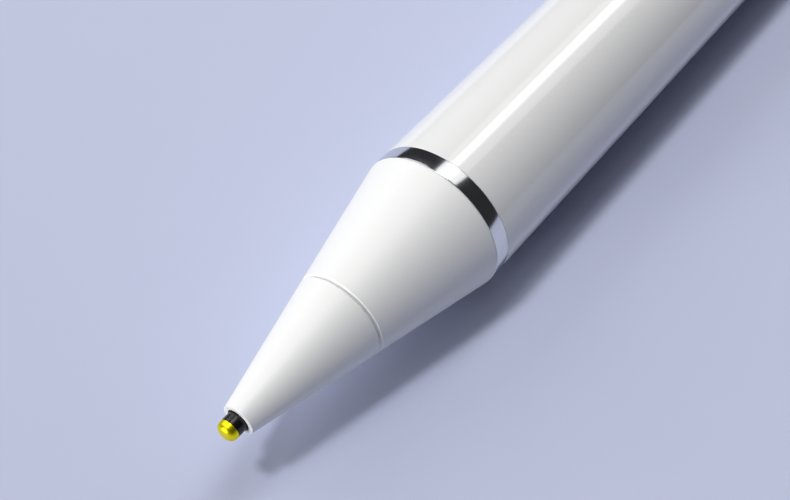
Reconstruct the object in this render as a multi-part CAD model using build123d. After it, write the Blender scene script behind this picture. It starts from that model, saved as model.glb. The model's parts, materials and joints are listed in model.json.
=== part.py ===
from build123d import *

import os
from math import acos, atan2, degrees, hypot

# A battery-powered stylus pen lying on its side. X runs along the pen's axis from tip to tail, Z is up,
# and the origin is on the axis, halfway along the front barrel, where a holder grips it. Millimetres.

# Barrel
BARREL_DIAMETER = 10.5
BARREL_WALL = 0.9
FRONT_BARREL_LENGTH = 60.0
TAIL_DIAMETER = 10.1
EDGE_BREAK = 0.06

# Fits between neighbours
FIT_CLEARANCE = 0.02
RUNNING_CLEARANCE = 0.05
SEAM_GAP = 0.05

# Chrome ring and the two-piece cone
RING_WIDTH = 1.16
RING_EDGE_BREAK = 0.05
SHOULDER_LAND = 0.21
CONE_LENGTH = 18.36
NOSE_DIAMETER = 2.24
NOSE_ROUNDING = 0.06
NOSE_SLEEVE_LENGTH = 9.29
SEAM_BREAK = 0.16
NOSE_GUIDE_LENGTH = 2.6
NOSE_SPIGOT_DIAMETER = 4.2
NOSE_SPIGOT_LENGTH = 2.4
CONE_SPIGOT_LENGTH = 5.0
CHAMBER_DIAMETER = 6.0
CHAMBER_SETBACK = 3.2
NOSE_SEAL_THICKNESS = 0.5

# Nib and the parts that feel its pressure
NIB_DIAMETER = 1.42
NIB_CLEARANCE = 0.08
NIB_PROJECTION = 1.27
BRASS_LENGTH = 0.58
BRASS_ROUNDING = 0.45
NIB_TRAVEL = 0.5
PLUNGER_DIAMETER = 2.3
PLUNGER_REACH = 5.0
PLUNGER_GRIP = 3.5
PLUNGER_FLANGE_DIAMETER = 4.4
PLUNGER_FLANGE_THICKNESS = 0.8
PLUNGER_PIN_DIAMETER = 1.6
NIB_SPRING_LENGTH = 3.0
NIB_SPRING_DIAMETER = 2.8
NIB_SPRING_WIRE = 0.25
NIB_SPRING_TURNS = 4
SENSOR_DIAMETER = 3.2
SENSOR_THICKNESS = 0.8
HOLDER_WALL = 1.0
HOLDER_HOLE_CLEARANCE = 0.15
BACKING_THICKNESS = 0.6

# Circuit board and its carrier
BOARD_WIDTH = 5.2
BOARD_THICKNESS = 0.8
CARRIER_TROUGH_WIDTH = 3.4
CARRIER_TROUGH_DEPTH = 2.2
CHIP_SIZE = 4.0
CHIP_HEIGHT = 0.9
COIL_DIAMETER = 4.2
COIL_HEIGHT = 1.8
CAPACITOR_LENGTH = 1.6
CAPACITOR_WIDTH = 0.8
CAPACITOR_COUNT = 5
CAPACITOR_PITCH = 2.2
SCREW_DIAMETER = 1.2
SCREW_HEAD_DIAMETER = 1.9
SCREW_HEAD_HEIGHT = 0.7
SCREW_LENGTH = 2.6
SCREW_INSET = 2.6
SCREW_LINE_OFFSET = 1.2

# Battery and its contacts
CELL_DIAMETER = 8.3
CELL_LENGTH = 42.5
CELL_EDGE_ROUNDING = 0.4
TERMINAL_DIAMETER = 3.0
TERMINAL_HEIGHT = 0.8
CONTACT_DIAMETER = 2.0
CONTACT_BLOCK_THICKNESS = 3.0
JOINER_GRIP = 5.0
JOINER_PROJECTION = 6.0
JOINER_BORE = 5.8
JOINT_SEAL_THICKNESS = 0.8
JOINT_SEAL_SETBACK = 0.6
CELL_SPRING_LENGTH = 3.5
CELL_SPRING_DIAMETER = 5.2
CELL_SPRING_WIRE = 0.4
CELL_SPRING_TURNS = 3
SPRING_PLATE_THICKNESS = 0.6

# Tail switch, cap and button
SWITCH_DIAMETER = 8.2
SWITCH_LENGTH = 4.0
SWITCH_PLUNGER_DIAMETER = 2.4
SWITCH_PLUNGER_SEAT = 2.0
TAIL_CAP_LENGTH = 4.2
TAIL_CAP_ROUNDING = 1.4
TAIL_SPIGOT_LENGTH = 1.45
TAIL_LIP = 2.0
BUTTON_DIAMETER = 5.2
BUTTON_FLANGE_DIAMETER = 6.6
BUTTON_FLANGE_THICKNESS = 1.15
BUTTON_PROJECTION = 1.6
BUTTON_ROUNDING = 0.5
BUTTON_TRAVEL = 0.7
BUTTON_SPRING_DIAMETER = 4.4
BUTTON_SPRING_WIRE = 0.3
BUTTON_SPRING_TURNS = 3

# Pocket clip on its hinge
COLLAR_LENGTH = 2.4
LUG_RADIUS = 1.1
LUG_THICKNESS = 0.8
LUG_SIDE_CLEARANCE = 0.1
CLIP_WIDTH = 3.0
CLIP_THICKNESS = 0.9
CLIP_GAP = 1.1
CLIP_LENGTH = 36.0
CLIP_EYE_WIDTH = 1.6
CLIP_EYE_RADIUS = 1.0
CLIP_EDGE_ROUNDING = 0.3
CLIP_TOE_SETBACK = 2.5
CLIP_PIN_DIAMETER = 1.0
CLIP_SPRING_DIAMETER = 1.6
CLIP_SPRING_WIRE = 0.2
CLIP_SPRING_TURNS = 2

# Construction
OVERRUN = 1.0
MATCH = 0.001

# Radii and places along X that several pieces share
barrel_r = BARREL_DIAMETER / 2
bore_r = barrel_r - BARREL_WALL
tail_r = TAIL_DIAMETER / 2
nose_r = NOSE_DIAMETER / 2
nib_r = NIB_DIAMETER / 2
plunger_r = PLUNGER_DIAMETER / 2
chamber_r = CHAMBER_DIAMETER / 2
spigot_r = NOSE_SPIGOT_DIAMETER / 2
insert_r = bore_r - FIT_CLEARANCE
joiner_r = bore_r - RUNNING_CLEARANCE

front_start = -FRONT_BARREL_LENGTH / 2
front_end = FRONT_BARREL_LENGTH / 2
ring_front = front_start - RING_WIDTH
cone_corner = ring_front - SHOULDER_LAND
nose_face = cone_corner - CONE_LENGTH
seam = nose_face + NOSE_SLEEVE_LENGTH
tip = nose_face - NIB_PROJECTION
cone_back = front_start + CONE_SPIGOT_LENGTH
chamber_front = seam + CHAMBER_SETBACK

plunger_front = seam - PLUNGER_REACH
flange_front = chamber_front + SEAM_GAP
flange_back = flange_front + PLUNGER_FLANGE_THICKNESS
holder_front = flange_back + NIB_SPRING_LENGTH
sensor_front = holder_front + HOLDER_WALL
holder_back = sensor_front + SENSOR_THICKNESS
backing_back = holder_back + BACKING_THICKNESS
plunger_back = sensor_front - NIB_TRAVEL - SEAM_GAP

joiner_start = front_end - JOINER_GRIP
carrier_end = joiner_start - CONTACT_BLOCK_THICKNESS
carrier_length = carrier_end - cone_back
joiner_end = front_end + JOINER_PROJECTION
cell_front = joiner_end + TERMINAL_HEIGHT
cell_back = joiner_end + CELL_LENGTH

rear_start = front_end + SEAM_GAP
spring_plate_front = cell_back + CELL_SPRING_LENGTH
switch_front = spring_plate_front + SPRING_PLATE_THICKNESS
switch_back = switch_front + SWITCH_LENGTH
rear_end = switch_back + TAIL_SPIGOT_LENGTH
collar_end = rear_end + COLLAR_LENGTH
cap_end = collar_end + TAIL_CAP_LENGTH
lip_front = cap_end - TAIL_LIP
button_flange_back = lip_front - SEAM_GAP
button_flange_front = button_flange_back - BUTTON_FLANGE_THICKNESS
button_end = cap_end + BUTTON_PROJECTION

# The clip is drawn pointing up and then turned until its lug meets the surface that the barrel lies on.
clip_pin_x = (rear_end + collar_end) / 2
clip_pin_height = tail_r + CLIP_GAP + CLIP_THICKNESS / 2
lug_inner = CLIP_WIDTH / 2 + LUG_SIDE_CLEARANCE
lug_outer = lug_inner + LUG_THICKNESS
lug_top = clip_pin_height + LUG_RADIUS
lug_reach = hypot(lug_top, lug_outer)
clip_turn = 180 - degrees(acos(barrel_r / lug_reach) + atan2(lug_outer, lug_top))


def cone_radius(x):
    """Outside radius of the cone at a place along the pen."""
    return barrel_r - (cone_corner - x) * (barrel_r - nose_r) / CONE_LENGTH


def turned(*outline):
    """Solid of revolution about the pen's axis from (x, radius) corners."""
    return revolve(make_face(Polyline(*outline, close=True)), Axis.X)


def rod(start, end, radius):
    return turned((start, 0), (end, 0), (end, radius), (start, radius))


def tube(start, end, outer, inner):
    return turned((start, inner), (end, inner), (end, outer), (start, outer))


def rim(shape, x, radius):
    """Circular edges of a turned piece at one place and radius."""
    circles = shape.edges().filter_by(GeomType.CIRCLE)
    return [e for e in circles if abs(e.arc_center.X - x) < MATCH and abs(e.radius - radius) < MATCH]


def coil(start, length, diameter, wire, turns):
    """Round-wire spring along the pen's axis, standing between two faces."""
    rise = length - wire - 2 * RUNNING_CLEARANCE
    first = start + wire / 2 + RUNNING_CLEARANCE
    along = (1, 0, 0)
    path = Helix(rise / turns, rise, diameter / 2, center=(first, 0, 0), direction=along)
    section = Plane(origin=path @ 0, z_dir=path % 0) * Circle(wire / 2)
    return sweep(section, path=path)


def block(start, end, width, low, high):
    """Rectangular block from its ends along X, its width across Y and its two heights."""
    size = (end - start, width, high - low)
    return Pos((start + end) / 2, 0, (low + high) / 2) * Box(*size)


def ring_seal(x, outer, thickness):
    return Pos(x, 0, 0) * Rot(Y=90) * Torus(outer - thickness / 2, thickness / 2)


def nose_sleeve():
    guide_r = nib_r + NIB_CLEARANCE
    plunger_bore = plunger_r + 2 * RUNNING_CLEARANCE
    socket_r = spigot_r + RUNNING_CLEARANCE
    guide_end = nose_face + NOSE_GUIDE_LENGTH
    socket_front = seam - NOSE_SPIGOT_LENGTH - SEAM_GAP
    back = seam - SEAM_GAP
    sleeve = turned(
        (nose_face, guide_r),
        (guide_end, guide_r),
        (guide_end, plunger_bore),
        (socket_front, plunger_bore),
        (socket_front, socket_r),
        (back, socket_r),
        (back, cone_radius(back)),
        (nose_face, nose_r),
    )
    sleeve = fillet(rim(sleeve, nose_face, nose_r), NOSE_ROUNDING)
    return chamfer(rim(sleeve, back, cone_radius(back)), EDGE_BREAK)


def nose_seal_x():
    return seam - NOSE_SEAL_THICKNESS - SEAM_GAP


def front_cone():
    plunger_bore = plunger_r + RUNNING_CLEARANCE
    cone = turned(
        (seam - NOSE_SPIGOT_LENGTH, plunger_bore),
        (chamber_front, plunger_bore),
        (chamber_front, chamber_r),
        (cone_back, chamber_r),
        (cone_back, insert_r),
        (ring_front, insert_r),
        (ring_front, barrel_r),
        (cone_corner, barrel_r),
        (seam, cone_radius(seam)),
        (seam, spigot_r),
        (seam - NOSE_SPIGOT_LENGTH, spigot_r),
    )
    cone = chamfer(rim(cone, seam, cone_radius(seam)), SEAM_BREAK)
    cone = chamfer(rim(cone, ring_front, barrel_r), RING_EDGE_BREAK)
    half_groove = NOSE_SEAL_THICKNESS / 2 + FIT_CLEARANCE
    groove_floor = spigot_r - NOSE_SEAL_THICKNESS
    groove = tube(nose_seal_x() - half_groove, nose_seal_x() + half_groove, spigot_r + OVERRUN, groove_floor)
    return cone - groove


def nose_seal():
    return ring_seal(nose_seal_x(), spigot_r + FIT_CLEARANCE, NOSE_SEAL_THICKNESS - FIT_CLEARANCE)


def trim_ring():
    ring = tube(ring_front, front_start, barrel_r, bore_r)
    edges = rim(ring, ring_front, barrel_r) + rim(ring, front_start, barrel_r)
    return chamfer(edges, RING_EDGE_BREAK)


def barrel(start, end, outer):
    shell = tube(start, end, outer, bore_r)
    return chamfer(rim(shell, start, outer) + rim(shell, end, outer), EDGE_BREAK)


def nib_tip():
    brass = rod(tip, tip + BRASS_LENGTH, nib_r)
    return fillet(rim(brass, tip, nib_r), BRASS_ROUNDING)


def nib_shaft():
    return rod(tip + BRASS_LENGTH, plunger_front + PLUNGER_GRIP, nib_r)


def nib_plunger():
    socket_r = nib_r + FIT_CLEARANCE
    socket_floor = plunger_front + PLUNGER_GRIP
    pin_r = PLUNGER_PIN_DIAMETER / 2
    flange_r = PLUNGER_FLANGE_DIAMETER / 2
    return turned(
        (plunger_front, socket_r),
        (socket_floor, socket_r),
        (socket_floor, 0),
        (plunger_back, 0),
        (plunger_back, pin_r),
        (flange_back, pin_r),
        (flange_back, flange_r),
        (flange_front, flange_r),
        (flange_front, plunger_r),
        (plunger_front, plunger_r),
    )


def nib_spring():
    size = (NIB_SPRING_DIAMETER, NIB_SPRING_WIRE, NIB_SPRING_TURNS)
    return coil(flange_back, NIB_SPRING_LENGTH, *size)


def sensor_holder():
    outer = chamber_r - FIT_CLEARANCE
    hole_r = PLUNGER_PIN_DIAMETER / 2 + HOLDER_HOLE_CLEARANCE
    pocket_r = SENSOR_DIAMETER / 2 + FIT_CLEARANCE
    return turned(
        (holder_front, hole_r),
        (sensor_front, hole_r),
        (sensor_front, pocket_r),
        (holder_back, pocket_r),
        (holder_back, outer),
        (holder_front, outer),
    )


def screw_places():
    """The two carrier screws, on opposite sides of the board's middle line."""
    return [
        (cone_back + SCREW_INSET, SCREW_LINE_OFFSET),
        (carrier_end - SCREW_INSET, -SCREW_LINE_OFFSET),
    ]


def circuit_board():
    board = block(backing_back, carrier_end, BOARD_WIDTH, -BOARD_THICKNESS / 2, BOARD_THICKNESS / 2)
    hole = Cylinder(SCREW_DIAMETER / 2 + RUNNING_CLEARANCE, BOARD_THICKNESS + OVERRUN)
    for x, y in screw_places():
        board -= Pos(x, y, 0) * hole
    return board


def board_carrier():
    top = -BOARD_THICKNESS / 2
    tray = rod(cone_back, carrier_end, insert_r)
    tray &= block(cone_back, carrier_end, BARREL_DIAMETER, -barrel_r, top)
    span = (cone_back + 2 * SCREW_INSET, carrier_end - 2 * SCREW_INSET)
    tray -= block(*span, CARRIER_TROUGH_WIDTH, top - CARRIER_TROUGH_DEPTH, top + OVERRUN)
    depth = SCREW_LENGTH - BOARD_THICKNESS
    hole = Cylinder(SCREW_DIAMETER / 2 + FIT_CLEARANCE, depth, align=(Align.CENTER, Align.CENTER, Align.MAX))
    for x, y in screw_places():
        tray -= Pos(x, y, top) * hole
    return tray


def carrier_screws():
    """Two pan-head screws that hold the board down on its carrier."""
    seat = BOARD_THICKNESS / 2
    head = Cylinder(SCREW_HEAD_DIAMETER / 2, SCREW_HEAD_HEIGHT, align=(Align.CENTER, Align.CENTER, Align.MIN))
    shank = Cylinder(SCREW_DIAMETER / 2, SCREW_LENGTH, align=(Align.CENTER, Align.CENTER, Align.MAX))
    slot = Box(SCREW_HEAD_DIAMETER, SCREW_HEAD_DIAMETER / 5, SCREW_HEAD_HEIGHT)
    screw = head + shank - Pos(0, 0, SCREW_HEAD_HEIGHT) * slot
    return Compound(children=[Pos(x, y, seat) * screw for x, y in screw_places()])


def on_board(x, shape):
    return Pos(x, 0, BOARD_THICKNESS / 2) * shape


def control_chip():
    base = (Align.CENTER, Align.CENTER, Align.MIN)
    return on_board(cone_back + carrier_length / 2, Box(CHIP_SIZE, CHIP_SIZE, CHIP_HEIGHT, align=base))


def drive_coil():
    """Step-up inductor that feeds the tip: a ferrite drum with a waist for its winding."""
    base = (Align.CENTER, Align.CENTER, Align.MIN)
    drum_r = COIL_DIAMETER / 2
    waist_height = COIL_HEIGHT / 2
    drum = Cylinder(drum_r, COIL_HEIGHT, align=base)
    waist = Cylinder(drum_r + OVERRUN, waist_height) - Cylinder(drum_r - COIL_HEIGHT / 4, waist_height)
    return on_board(cone_back + carrier_length / 4, drum - Pos(0, 0, COIL_HEIGHT / 2) * waist)


def board_capacitors():
    """A row of chip capacitors behind the control chip."""
    base = (Align.CENTER, Align.CENTER, Align.MIN)
    first = cone_back + carrier_length / 2 + CHIP_SIZE
    body = Box(CAPACITOR_WIDTH, CAPACITOR_LENGTH, CAPACITOR_WIDTH, align=base)
    row = [on_board(first + n * CAPACITOR_PITCH, body) for n in range(CAPACITOR_COUNT)]
    return Compound(children=row)


def contact_block():
    """Insulating block behind the board, with a nose that fills the joiner."""
    hole_r = CONTACT_DIAMETER / 2 + FIT_CLEARANCE
    return turned(
        (carrier_end, hole_r),
        (joiner_end, hole_r),
        (joiner_end, JOINER_BORE / 2 - FIT_CLEARANCE),
        (joiner_start, JOINER_BORE / 2 - FIT_CLEARANCE),
        (joiner_start, insert_r),
        (carrier_end, insert_r),
    )


def joint_seal_x():
    return front_end + JOINT_SEAL_SETBACK + JOINT_SEAL_THICKNESS / 2


def joiner():
    """Threaded sleeve that stands out of the front barrel and carries the rear one."""
    sleeve = tube(joiner_start, joiner_end, joiner_r, JOINER_BORE / 2)
    sleeve = chamfer(rim(sleeve, joiner_end, joiner_r), EDGE_BREAK)
    half_groove = JOINT_SEAL_THICKNESS / 2 + FIT_CLEARANCE
    floor = joiner_r - JOINT_SEAL_THICKNESS
    return sleeve - tube(joint_seal_x() - half_groove, joint_seal_x() + half_groove, barrel_r, floor)


def joint_seal():
    return ring_seal(joint_seal_x(), joiner_r + FIT_CLEARANCE, JOINT_SEAL_THICKNESS - FIT_CLEARANCE)


def battery_can():
    cell_r = CELL_DIAMETER / 2
    can = rod(cell_front, cell_back, cell_r)
    return fillet(rim(can, cell_front, cell_r) + rim(can, cell_back, cell_r), CELL_EDGE_ROUNDING)


def battery_spring():
    size = (CELL_SPRING_DIAMETER, CELL_SPRING_WIRE, CELL_SPRING_TURNS)
    return coil(cell_back, CELL_SPRING_LENGTH, *size)


def button_spring():
    size = (BUTTON_SPRING_DIAMETER, BUTTON_SPRING_WIRE, BUTTON_SPRING_TURNS)
    return coil(switch_back, button_flange_front - switch_back, *size)


def tail_switch():
    well_r = SWITCH_PLUNGER_DIAMETER / 2 + RUNNING_CLEARANCE
    switch_r = SWITCH_DIAMETER / 2
    floor = switch_back - SWITCH_PLUNGER_SEAT - BUTTON_TRAVEL - SEAM_GAP
    return turned(
        (switch_front, 0),
        (floor, 0),
        (floor, well_r),
        (switch_back, well_r),
        (switch_back, switch_r),
        (switch_front, switch_r),
    )


def switch_plunger():
    return rod(switch_back - SWITCH_PLUNGER_SEAT, button_flange_front, SWITCH_PLUNGER_DIAMETER / 2)


def tail_cap():
    well_r = BUTTON_FLANGE_DIAMETER / 2 + RUNNING_CLEARANCE
    hole_r = BUTTON_DIAMETER / 2 + RUNNING_CLEARANCE
    cap = turned(
        (switch_back, well_r),
        (lip_front, well_r),
        (lip_front, hole_r),
        (cap_end, hole_r),
        (cap_end, tail_r),
        (collar_end, tail_r),
        (collar_end, joiner_r),
        (switch_back, joiner_r),
    )
    cap = fillet(rim(cap, cap_end, tail_r), TAIL_CAP_ROUNDING)
    return chamfer(rim(cap, collar_end, tail_r), EDGE_BREAK)


def tail_button():
    button_r = BUTTON_DIAMETER / 2
    flange_r = BUTTON_FLANGE_DIAMETER / 2
    button = turned(
        (button_flange_front, 0),
        (button_end, 0),
        (button_end, button_r),
        (button_flange_back, button_r),
        (button_flange_back, flange_r),
        (button_flange_front, flange_r),
    )
    return fillet(rim(button, button_end, button_r), BUTTON_ROUNDING)


def across(radius, width, y):
    """Cylinder on the clip pin's line, centred at y across the clip."""
    return Pos(clip_pin_x, y, clip_pin_height) * Rot(X=90) * Cylinder(radius, width)


def clip_collar():
    """Metal ring behind the rear barrel with the two lugs that hold the clip's pin."""
    ring = barrel(rear_end, collar_end, tail_r)
    for side in (-1, 1):
        y = side * (lug_inner + lug_outer) / 2
        web_ends = (clip_pin_x - LUG_RADIUS, clip_pin_x + LUG_RADIUS)
        web = block(*web_ends, LUG_THICKNESS, (bore_r + tail_r) / 2, clip_pin_height)
        ring += Pos(0, y, 0) * web + across(LUG_RADIUS, LUG_THICKNESS, y)
    return ring - across(CLIP_PIN_DIAMETER / 2 + FIT_CLEARANCE, 2 * lug_outer + OVERRUN, 0)


def clip_pin():
    return across(CLIP_PIN_DIAMETER / 2, 2 * lug_outer, 0)


def clip_arm():
    """Flat spring arm with a hinge eye at its root and a rounded toe that rests on the rear barrel."""
    low = tail_r + CLIP_GAP
    high = low + CLIP_THICKNESS
    front = clip_pin_x - CLIP_LENGTH
    neck = clip_pin_x - LUG_RADIUS - LUG_SIDE_CLEARANCE
    bar = block(front, neck, CLIP_WIDTH, low, high)
    bar = fillet(bar.edges().filter_by(Axis.Z).group_by(Axis.X)[0], CLIP_WIDTH / 2 - CLIP_EDGE_ROUNDING)
    outer_edges = bar.faces().sort_by(Axis.Z)[-1].edges()
    bar = fillet([e for e in outer_edges if e.center().X < neck - MATCH], CLIP_EDGE_ROUNDING)
    eye_y = (CLIP_EYE_WIDTH - CLIP_WIDTH) / 2
    bar += Pos(0, eye_y, 0) * block(neck, clip_pin_x, CLIP_EYE_WIDTH, low, high)
    bar += across(CLIP_EYE_RADIUS, CLIP_EYE_WIDTH, eye_y)
    toe_r = CLIP_GAP - SEAM_GAP
    bar += Pos(front + CLIP_TOE_SETBACK, 0, low) * Rot(X=90) * Cylinder(toe_r, CLIP_WIDTH / 2)
    return bar - across(CLIP_PIN_DIAMETER / 2 + RUNNING_CLEARANCE, 2 * CLIP_WIDTH, 0)


def clip_spring():
    """Small wound spring beside the eye, on the pin."""
    y = -CLIP_WIDTH / 2 + CLIP_EYE_WIDTH
    span = lug_inner - y
    wound = Pos(clip_pin_x, y, clip_pin_height) * Rot(Z=90)
    return wound * coil(0, span, CLIP_SPRING_DIAMETER, CLIP_SPRING_WIRE, CLIP_SPRING_TURNS)


def turned_to_rest(shape):
    return Rot(X=clip_turn) * shape


contact_r = CONTACT_DIAMETER / 2
pieces = {
    "nose_sleeve": nose_sleeve(),
    "nose_seal": nose_seal(),
    "front_cone": front_cone(),
    "trim_ring": trim_ring(),
    "front_barrel": barrel(front_start, front_end, barrel_r),
    "nib_tip": nib_tip(),
    "nib_shaft": nib_shaft(),
    "nib_plunger": nib_plunger(),
    "nib_spring": nib_spring(),
    "sensor_holder": sensor_holder(),
    "force_sensor": rod(sensor_front, holder_back, SENSOR_DIAMETER / 2),
    "sensor_backing": rod(holder_back, backing_back, chamber_r - FIT_CLEARANCE),
    "circuit_board": circuit_board(),
    "board_carrier": board_carrier(),
    "control_chip": control_chip(),
    "drive_coil": drive_coil(),
    "board_capacitors": board_capacitors(),
    "carrier_screws": carrier_screws(),
    "contact_block": contact_block(),
    "positive_contact": rod(carrier_end, joiner_end, contact_r),
    "joiner": joiner(),
    "joint_seal": joint_seal(),
    "battery_can": battery_can(),
    "battery_terminal": rod(joiner_end, cell_front, TERMINAL_DIAMETER / 2),
    "battery_spring": battery_spring(),
    "spring_plate": rod(spring_plate_front, switch_front, joiner_r),
    "rear_barrel": barrel(rear_start, rear_end, tail_r),
    "tail_switch": tail_switch(),
    "switch_plunger": switch_plunger(),
    "button_spring": button_spring(),
    "tail_cap": tail_cap(),
    "tail_button": tail_button(),
    "clip_collar": turned_to_rest(clip_collar()),
    "clip_pin": turned_to_rest(clip_pin()),
    "clip_arm": turned_to_rest(clip_arm()),
    "clip_spring": turned_to_rest(clip_spring()),
}

os.makedirs("parts", exist_ok=True)
for name, shape in pieces.items():
    export_step(shape, f"parts/{name}.step")
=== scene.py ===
import json
from math import cos, pi, radians, sin

import bmesh
import bpy
from mathutils import Matrix, Vector


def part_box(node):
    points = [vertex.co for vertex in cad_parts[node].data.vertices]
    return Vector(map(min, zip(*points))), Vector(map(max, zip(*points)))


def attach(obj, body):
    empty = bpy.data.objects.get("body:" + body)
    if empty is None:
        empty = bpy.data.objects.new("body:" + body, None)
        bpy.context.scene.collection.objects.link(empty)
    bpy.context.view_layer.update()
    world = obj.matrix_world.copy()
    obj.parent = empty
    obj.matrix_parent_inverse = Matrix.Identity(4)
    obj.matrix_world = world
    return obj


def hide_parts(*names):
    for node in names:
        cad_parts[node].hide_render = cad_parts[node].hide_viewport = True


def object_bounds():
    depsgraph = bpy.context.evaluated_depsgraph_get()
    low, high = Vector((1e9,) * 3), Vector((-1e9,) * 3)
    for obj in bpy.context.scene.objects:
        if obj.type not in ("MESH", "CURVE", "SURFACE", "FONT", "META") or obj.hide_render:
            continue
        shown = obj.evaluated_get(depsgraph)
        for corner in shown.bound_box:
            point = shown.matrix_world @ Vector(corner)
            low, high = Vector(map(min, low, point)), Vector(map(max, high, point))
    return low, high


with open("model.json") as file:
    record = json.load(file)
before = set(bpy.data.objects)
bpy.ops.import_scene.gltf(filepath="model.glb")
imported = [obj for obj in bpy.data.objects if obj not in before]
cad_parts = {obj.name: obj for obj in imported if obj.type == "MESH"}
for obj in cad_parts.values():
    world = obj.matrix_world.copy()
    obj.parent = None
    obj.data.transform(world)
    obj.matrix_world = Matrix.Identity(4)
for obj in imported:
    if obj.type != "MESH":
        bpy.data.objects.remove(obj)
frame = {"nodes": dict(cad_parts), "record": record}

cad_low, cad_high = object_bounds()
MM = 0.001

# Sizes of the pen's own edges, in metres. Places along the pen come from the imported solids.
ROUND_SEGMENTS = 192
CORNER_STEPS = 6
SHARP_ANGLE = radians(25)
CONE_EDGE_DEGREES = 103
LACQUER_EDGE = 0.06 * MM
RING_EDGE = 0.05 * MM
SEAM_EDGE = 0.16 * MM
SHOULDER_LAND = 0.21 * MM
SHOULDER_ROUNDING = 0.12 * MM
NOSE_RADIUS = 1.12 * MM
NOSE_ROUNDING = 0.06 * MM
NOSE_HOLE_RADIUS = 0.79 * MM
NOSE_GUIDE_LENGTH = 2.6 * MM
PLUNGER_BORE_RADIUS = 1.25 * MM
SPIGOT_RADIUS = 2.1 * MM
SPIGOT_LENGTH = 2.4 * MM
SOCKET_CLEARANCE = 0.05 * MM
SPIGOT_BORE_RADIUS = 1.2 * MM
BRASS_ROUNDING = 0.45 * MM
BARREL_WALL = 0.9 * MM
CAP_ROUNDING = 1.4 * MM
CAP_HOLE_RADIUS = 2.65 * MM
BUTTON_RADIUS = 2.6 * MM
BUTTON_FLANGE_LENGTH = 1.15 * MM
BUTTON_ROUNDING = 0.5 * MM
BUTTON_DISH_DEPTH = 0.15 * MM

barrel_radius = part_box("front_barrel")[1].z
bore_radius = barrel_radius - BARREL_WALL
ring_low, ring_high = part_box("trim_ring")
sleeve_low, sleeve_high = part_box("nose_sleeve")
cone_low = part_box("front_cone")[0]
cone_corner = ring_low.x - SHOULDER_LAND
nose_face = sleeve_low.x
seam = cone_low.x + SPIGOT_LENGTH
ring_back = Vector((ring_high.x, 0, 0))


def cone_radius(x):
    """Outside radius of the cone at a place along the pen."""
    return barrel_radius - (cone_corner - x) * (barrel_radius - NOSE_RADIUS) / (cone_corner - nose_face)


def rounded(x, r, radius, start, end):
    """Points of a rounded corner about (x, r), between two angles in degrees."""
    angles = [radians(start + (end - start) * n / CORNER_STEPS) for n in range(CORNER_STEPS + 1)]
    return [(x + radius * cos(a), r + radius * sin(a)) for a in angles]


def lathe(node, outline, body, material):
    """Closed turned piece about the pen's axis from (x, radius) corners, in place of a CAD node."""
    verts = []
    rings = []
    for x, r in outline:
        count = ROUND_SEGMENTS if r > 0 else 1
        rings.append([len(verts) + n for n in range(count)])
        turns = [2 * pi * n / count for n in range(count)]
        verts += [(x, r * cos(t), r * sin(t)) for t in turns]
    faces = []
    for first, second in zip(rings, rings[1:] + rings[:1]):
        for n in range(ROUND_SEGMENTS):
            steps = ((first, n), (first, n + 1), (second, n + 1), (second, n))
            corners = list(dict.fromkeys(ring[k % len(ring)] for ring, k in steps))
            if len(corners) > 2:
                faces.append(corners)
    mesh = bpy.data.meshes.new(node + "_turned")
    mesh.from_pydata(verts, [], faces)
    shell = bmesh.new()
    shell.from_mesh(mesh)
    bmesh.ops.recalc_face_normals(shell, faces=shell.faces)
    shell.to_mesh(mesh)
    shell.free()
    mesh.shade_smooth()
    mesh.set_sharp_from_angle(angle=SHARP_ANGLE)
    mesh.materials.append(material)
    piece = bpy.data.objects.new(node + "_turned", mesh)
    bpy.context.scene.collection.objects.link(piece)
    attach(piece, body)
    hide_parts(node)


def linear(code):
    """sRGB hex colour as linear RGBA."""
    channels = [int(code[k:k + 2], 16) / 255 for k in (1, 3, 5)]
    return [c / 12.92 if c <= 0.04045 else ((c + 0.055) / 1.055) ** 2.4 for c in channels] + [1.0]


def add(tree, kind, inputs, **settings):
    """Adds a node, sets its fields, and gives each named input a value or a link."""
    node = tree.nodes.new(kind)
    for field, value in settings.items():
        setattr(node, field, value)
    for name, value in inputs.items():
        if isinstance(value, bpy.types.NodeSocket):
            tree.links.new(value, node.inputs[name])
        else:
            node.inputs[name].default_value = value
    return node


# Range and detail of the noise behind every finish.
NOISE_DETAIL = 3.0
NOISE_ROUGHNESS = 0.55
NOISE_LOW = 0.3
NOISE_HIGH = 0.7


def finish(name, grain_mm, bump_mm, tint_a, tint_b, roughness, stretch=(1, 1, 1), **sockets):
    """Surface whose colour, roughness and relief wander with one noise of a real grain size."""
    material = bpy.data.materials.new(name)
    material.use_nodes = True
    tree = material.node_tree
    shader = tree.nodes["Principled BSDF"]
    place = add(tree, "ShaderNodeTexCoord", {})
    mapped = add(tree, "ShaderNodeMapping", {"Vector": place.outputs["Object"], "Scale": stretch})
    noise = add(
        tree,
        "ShaderNodeTexNoise",
        {
            "Vector": mapped.outputs["Vector"],
            "Scale": 1 / (grain_mm * MM),
            "Detail": NOISE_DETAIL,
            "Roughness": NOISE_ROUGHNESS,
        },
    )
    low, high = roughness
    wander = add(
        tree,
        "ShaderNodeMapRange",
        {
            "Value": noise.outputs["Fac"],
            "From Min": NOISE_LOW,
            "From Max": NOISE_HIGH,
            "To Min": low,
            "To Max": high,
        },
    )
    tint = add(
        tree,
        "ShaderNodeMix",
        {"Factor": noise.outputs["Fac"], "A": linear(tint_a), "B": linear(tint_b)},
        data_type="RGBA",
    )
    relief = add(
        tree,
        "ShaderNodeBump",
        {"Height": noise.outputs["Fac"], "Distance": bump_mm * MM, "Strength": 1.0},
    )
    tree.links.new(wander.outputs["Result"], shader.inputs["Roughness"])
    tree.links.new(tint.outputs["Result"], shader.inputs["Base Color"])
    tree.links.new(relief.outputs["Normal"], shader.inputs["Normal"])
    for socket, value in sockets.items():
        shader.inputs[socket.replace("_", " ")].default_value = value
    return material


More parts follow.
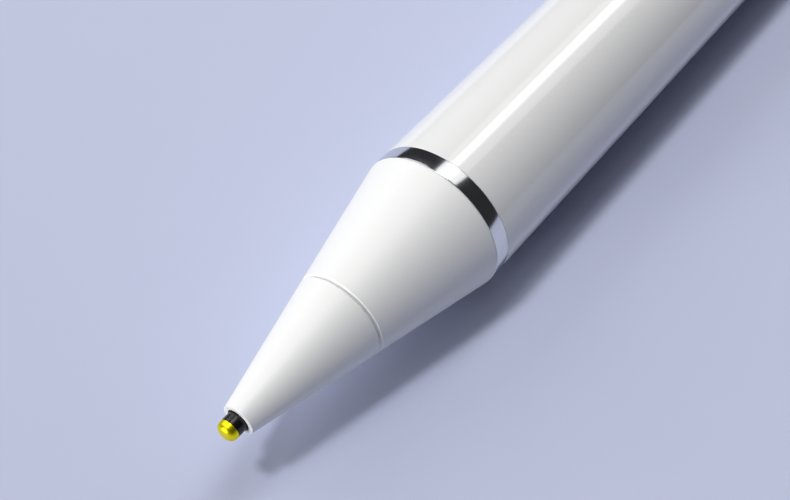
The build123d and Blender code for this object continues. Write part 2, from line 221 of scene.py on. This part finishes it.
# Sprayed lacquer on a drawn tube: a clear wet gloss with a very faint orange peel.
white_lacquer = finish(
    "white_lacquer_sprayed",
    2.5,
    0.0015,
    "#f3f3f2",
    "#f0f0ef",
    (0.1, 0.14),
    IOR=1.5,
    Coat_Weight=0.6,
    Coat_Roughness=0.07,
)
# ABS from a fine-spark mould: a satin white with a grain that only softens the highlight.
satin_abs = finish("white_abs_satin_moulded", 0.14, 0.002, "#f1f1f0", "#eeeeed", (0.4, 0.5), IOR=1.53)
# Chrome plate polished round the ring: a mirror with a trace of polishing lines.
chrome = finish(
    "chrome_plated_polished", 0.3, 0.0004, "#dfe0e2", "#e4e5e7", (0.11, 0.15), (4, 0.2, 0.2), Metallic=1.0
)
# Turned and polished brass: a clear yellow metal with fine rings from the lathe.
brass = finish(
    "brass_turned_polished", 0.1, 0.0006, "#fdea16", "#fff01e", (0.34, 0.42), (6, 0.4, 0.4), Metallic=1.0
)
# Acetal rod, turned: deep black with a soft shine.
black_acetal = finish("black_acetal_turned", 0.12, 0.0008, "#0c0c0d", "#121213", (0.22, 0.3), IOR=1.48)
# Grey ABS for the button: satin, a little darker than the cap.
grey_abs = finish("grey_abs_satin_moulded", 0.14, 0.002, "#b9bbbe", "#b2b4b7", (0.4, 0.5), IOR=1.53)
# Inner mouldings: plain glass-filled nylon with a cloudy grain.
grey_nylon = finish("grey_nylon_moulded", 0.3, 0.006, "#4c4e52", "#56585c", (0.5, 0.62), IOR=1.53)
# Solder mask on a glass-fibre board: green with a faint weave seen as mottling.
solder_mask = finish("green_solder_mask", 0.4, 0.004, "#0d4a24", "#125c2e", (0.3, 0.4), IOR=1.5)
# Moulded epoxy: dull black.
epoxy = finish("black_epoxy_moulded", 0.15, 0.004, "#161617", "#1d1d1f", (0.55, 0.65), IOR=1.55)
# Sintered ferrite: dark grey with a coarse fired grain.
ferrite = finish("ferrite_sintered", 0.2, 0.01, "#2a2a2c", "#353537", (0.5, 0.65), IOR=2.0)
# Fired ceramic: tan, matte.
ceramic = finish("tan_ceramic_fired", 0.2, 0.004, "#a1825c", "#93754f", (0.45, 0.55), IOR=1.7)
# Drawn spring wire: bright steel with lines along the wire.
spring_wire = finish("spring_steel_drawn", 0.1, 0.001, "#9b9da0", "#a6a8ab", (0.22, 0.32), Metallic=1.0)
# Moulded nitrile rubber: dull near-black.
nitrile = finish("black_nitrile_moulded", 0.2, 0.006, "#131313", "#1a1a1a", (0.6, 0.75), IOR=1.52)
# Polyimide film: amber and glossy.
polyimide = finish("polyimide_film", 0.5, 0.001, "#8a4f14", "#955a1a", (0.25, 0.35), IOR=1.7)
# Lacquered steel can of the cell: plain graphite grey.
cell_lacquer = finish("graphite_lacquered_steel", 0.6, 0.002, "#41454b", "#484c52", (0.25, 0.35), IOR=1.5)

slot_finishes = {
    "white_gloss": white_lacquer,
    "white_satin": satin_abs,
    "chrome": chrome,
    "brass": brass,
    "black_gloss": black_acetal,
    "button_grey": grey_abs,
    "grey_plastic": grey_nylon,
    "sensor_film": polyimide,
    "board_green": solder_mask,
    "chip_black": epoxy,
    "ferrite": ferrite,
    "capacitor_tan": ceramic,
    "spring_steel": spring_wire,
    "rubber": nitrile,
    "cell_jacket": cell_lacquer,
}


def dress_solids():
    """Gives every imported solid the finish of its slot."""
    for part in frame["record"]["subparts"]:
        node = frame["nodes"][part["node"]]
        node.data.materials.clear()
        node.data.materials.append(slot_finishes[part["material_slot"]])


def band(node, edge):
    """Outline of a plain tube with softly rounded outer edges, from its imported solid."""
    low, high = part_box(node)
    outer = rounded(low.x + edge, high.z - edge, edge, 180, 90)
    outer += rounded(high.x - edge, high.z - edge, edge, 90, 0)
    return [(low.x, bore_radius)] + outer + [(high.x, bore_radius)]


def turned_barrels():
    for node, body in (("front_barrel", "pen_body"), ("rear_barrel", "tail_section")):
        lathe(node, band(node, LACQUER_EDGE), body, white_lacquer)
    lathe("trim_ring", band("trim_ring", RING_EDGE), "pen_body", chrome)


def turned_cone():
    """Rear half of the cone with its shoulder, its seam edge and the spigot that the nose sleeve goes on."""
    corner_radius = barrel_radius - SHOULDER_ROUNDING
    corner = rounded(cone_corner + SHOULDER_ROUNDING, corner_radius, SHOULDER_ROUNDING, CONE_EDGE_DEGREES, 90)
    back = ring_high.x
    insert = bore_radius - SOCKET_CLEARANCE
    outline = [
        (seam - SPIGOT_LENGTH, SPIGOT_BORE_RADIUS),
        (seam - SPIGOT_LENGTH, SPIGOT_RADIUS),
        (seam, SPIGOT_RADIUS),
        (seam, cone_radius(seam) - SEAM_EDGE),
        (seam + SEAM_EDGE, cone_radius(seam + SEAM_EDGE)),
        *corner,
        (ring_low.x - RING_EDGE, barrel_radius),
        (ring_low.x, barrel_radius - RING_EDGE),
        (ring_low.x, insert),
        (back, insert),
        (back, SPIGOT_BORE_RADIUS),
    ]
    lathe("front_cone", outline, "pen_body", satin_abs)


def turned_nose():
    """Front half of the cone with its rounded lip and the hole that the nib comes through."""
    back = sleeve_high.x
    socket = SPIGOT_RADIUS + SOCKET_CLEARANCE
    socket_front = seam - SPIGOT_LENGTH - SOCKET_CLEARANCE
    guide_end = nose_face + NOSE_GUIDE_LENGTH
    lip = NOSE_ROUNDING / 2
    edge_radius = NOSE_RADIUS - NOSE_ROUNDING
    outline = [
        (guide_end, PLUNGER_BORE_RADIUS),
        (guide_end, NOSE_HOLE_RADIUS),
        *rounded(nose_face + lip, NOSE_HOLE_RADIUS + lip, lip, 270, 180),
        *rounded(nose_face + NOSE_ROUNDING, edge_radius, NOSE_ROUNDING, 180, CONE_EDGE_DEGREES),
        (back - LACQUER_EDGE, cone_radius(back - LACQUER_EDGE)),
        (back, cone_radius(back) - LACQUER_EDGE),
        (back, socket),
        (socket_front, socket),
        (socket_front, PLUNGER_BORE_RADIUS),
    ]
    lathe("nose_sleeve", outline, "nose", satin_abs)


def turned_nib():
    tip_low, tip_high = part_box("nib_tip")
    radius = tip_high.z
    dome = rounded(tip_low.x + BRASS_ROUNDING, radius - BRASS_ROUNDING, BRASS_ROUNDING, 180, 90)
    lathe("nib_tip", [(tip_low.x, 0)] + dome + [(tip_high.x, radius), (tip_high.x, 0)], "nib", brass)
    low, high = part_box("nib_shaft")
    outline = [(low.x, 0), (low.x, radius), (high.x, radius), (high.x, 0)]
    lathe("nib_shaft", outline, "nib", black_acetal)


def turned_tail():
    low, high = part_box("tail_cap")
    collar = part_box("clip_collar")[1].x
    spigot = bore_radius - SOCKET_CLEARANCE
    cap = [
        (low.x, CAP_HOLE_RADIUS),
        (low.x, spigot),
        (collar, spigot),
        *rounded(collar + LACQUER_EDGE, high.z - LACQUER_EDGE, LACQUER_EDGE, 180, 90),
        *rounded(high.x - CAP_ROUNDING, high.z - CAP_ROUNDING, CAP_ROUNDING, 90, 0),
        *rounded(high.x - LACQUER_EDGE, CAP_HOLE_RADIUS + LACQUER_EDGE, LACQUER_EDGE, 0, -90),
    ]
    lathe("tail_cap", cap, "tail_section", white_lacquer)
    low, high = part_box("tail_button")
    button = [
        (low.x, 0),
        (low.x, high.z),
        (low.x + BUTTON_FLANGE_LENGTH, high.z),
        (low.x + BUTTON_FLANGE_LENGTH, BUTTON_RADIUS),
        *rounded(high.x - BUTTON_ROUNDING, BUTTON_RADIUS - BUTTON_ROUNDING, BUTTON_ROUNDING, 90, 0),
        (high.x - BUTTON_DISH_DEPTH, BUTTON_RADIUS / 2),
        (high.x - BUTTON_DISH_DEPTH, 0),
    ]
    lathe("tail_button", button, "button", grey_abs)


# Camera at the photograph's viewing angle, placed from the back of the ring in barrel radii.
CAMERA_AZIMUTH = radians(-52.07)
CAMERA_ELEVATION = radians(52.41)
CAMERA_PLACE_SHARES = (-8.749, -6.085, 13.054)
CAMERA_LENS = 62.04


def set_camera():
    data = bpy.data.cameras.new("photo_camera")
    data.lens = CAMERA_LENS
    data.clip_start = 1 * MM
    camera = bpy.data.objects.new("photo_camera", data)
    camera.location = ring_back + Vector(CAMERA_PLACE_SHARES) * barrel_radius
    camera.rotation_euler = (pi / 2 - CAMERA_ELEVATION, 0, CAMERA_AZIMUTH)
    bpy.context.scene.collection.objects.link(camera)
    bpy.context.scene.camera = camera


# Pale floor and studio light: two broad soft lights from the tip's side, and softboxes along the barrel.
FLOOR_SIZE = 4.0
FLOOR_GRAIN_MM = 8.0
FLOOR_COLOUR = "#c3c9e2"
FLOOR_SHADE = "#c2c8e1"
LAMPS = {
    "strip_softbox": {"place": (0.26, 0.06, 0.47), "size": (0.6, 0.09), "watts": 0.75},
    "overhead_softbox": {"place": (0.26, 0.035, 0.475), "size": (0.4, 0.3), "watts": 0.42},
    "side_softbox": {"place": (0.0, 0.44, 0.36), "size": (0.5, 0.4), "watts": 1.05},
}
BROAD_LIGHTS = {
    "key_light": {"place": (-0.17, 0.12, 0.57), "strength": 1.0, "angle": radians(8)},
    "nose_light": {"place": (-0.5, 0.13, 0.11), "strength": 2.0, "angle": radians(20)},
}
WORLD_COLOUR = "#8c8d92"
WORLD_STRENGTH = 0.1


def place_light(data, place):
    """Hangs a lamp at a place measured from the ring's back, facing the ring with its long side along X."""
    light = bpy.data.objects.new(data.name, data)
    light.location = ring_back + Vector(place)
    away = Vector(place).normalized()
    along = (Vector((1, 0, 0)) - away * away.x).normalized()
    light.rotation_euler = Matrix((along, away.cross(along), away)).transposed().to_euler()
    bpy.context.scene.collection.objects.link(light)


def set_stage():
    bpy.ops.mesh.primitive_plane_add(size=FLOOR_SIZE, location=(0, 0, cad_low.z))
    floor = bpy.context.object
    floor.name = "studio_floor"
    paint = finish("pale_studio_paper", FLOOR_GRAIN_MM, 0.0, FLOOR_COLOUR, FLOOR_SHADE, (0.8, 0.9), IOR=1.45)
    floor.data.materials.append(paint)
    world = bpy.data.worlds.new("studio_room")
    bpy.context.scene.world = world
    world.use_nodes = True
    background = world.node_tree.nodes["Background"]
    background.inputs["Color"].default_value = linear(WORLD_COLOUR)
    background.inputs["Strength"].default_value = WORLD_STRENGTH
    for name, lamp in BROAD_LIGHTS.items():
        broad = bpy.data.lights.new(name, "SUN")
        broad.energy = lamp["strength"]
        broad.angle = lamp["angle"]
        place_light(broad, lamp["place"])
    for name, lamp in LAMPS.items():
        softbox = bpy.data.lights.new(name, "AREA")
        softbox.shape = "RECTANGLE"
        softbox.size, softbox.size_y = lamp["size"]
        softbox.energy = lamp["watts"]
        place_light(softbox, lamp["place"])


dress_solids()
turned_barrels()
turned_cone()
turned_nose()
turned_nib()
turned_tail()
set_camera()
set_stage()
bpy.context.scene.view_settings.view_transform = "Standard"
